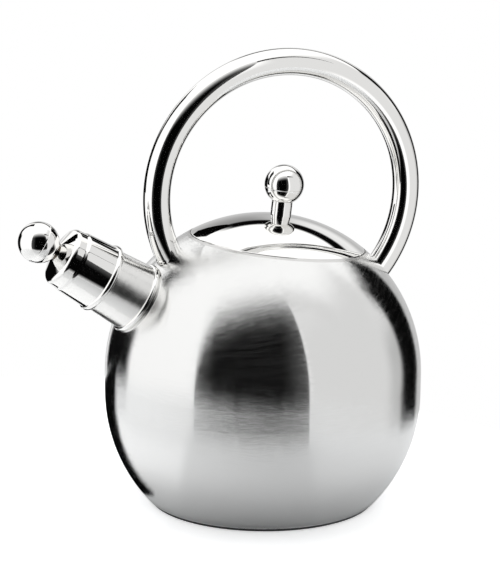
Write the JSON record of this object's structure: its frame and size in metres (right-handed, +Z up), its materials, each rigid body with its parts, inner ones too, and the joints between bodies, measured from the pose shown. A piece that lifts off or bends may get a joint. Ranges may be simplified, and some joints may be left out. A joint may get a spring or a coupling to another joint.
{
  "type": "whistling kettle",
  "caption": "Ball-shaped steel stovetop kettle with a fixed ring handle, a lift-off lid with a ball knob and a pull-off whistle cap on a short slanted spout.",
  "frame": {"origin": "centre of the underside of the base, on the hob", "axes": "+Z up, -X towards the spout, +Y to the left of someone who looks along -X"},
  "size_m": [0.2355, 0.18, 0.2595],
  "materials": {
    "body_steel": "fine circumferential satin brushing on stainless steel",
    "spout_steel": "fine satin brushing round the spout",
    "base_steel": "satin stainless steel, turned",
    "inner_steel": "plain drawn stainless steel",
    "base_aluminium": "plain",
    "polished_steel": "mirror-polished stainless steel",
    "boss_brass": "turned",
    "fastener_steel": "plain stainless fastener"
  },
  "bodies": {
    "root": {"lower_shell": "body_steel", "upper_shell": "body_steel", "mouth_ring": "inner_steel", "base_core": "base_aluminium", "base_cap": "base_steel", "handle_tube": "polished_steel", "spout_tube": "spout_steel", "spout_collar": "polished_steel"},
    "lid": {"lid_dome": "polished_steel", "lid_skirt": "inner_steel", "knob_stem": "polished_steel", "knob_ball_lower": "polished_steel", "knob_ball_upper": "polished_steel", "knob_boss": "boss_brass", "knob_screw": "fastener_steel", "knob_washer": "fastener_steel"},
    "whistle_cap": {"cap_shell": "polished_steel", "cap_spring_sleeve": "inner_steel", "whistle_plate_inner": "inner_steel", "whistle_spacer": "inner_steel", "whistle_plate_outer": "inner_steel", "cap_stem": "polished_steel", "cap_ball_inner": "polished_steel", "cap_ball_outer": "polished_steel", "cap_boss": "boss_brass", "cap_screw": "fastener_steel", "cap_washer": "fastener_steel"}
  },
  "joints": [
    {"name": "lid_lift", "type": "slide", "parent": "root", "child": "lid", "axis": [0.108, 0, 0.9942], "range_m": [0, 0.047]},
    {"name": "cap_pull", "type": "slide", "parent": "root", "child": "whistle_cap", "axis": [-0.8462, 0, 0.5329], "range_m": [0, 0.03]}
  ]
}
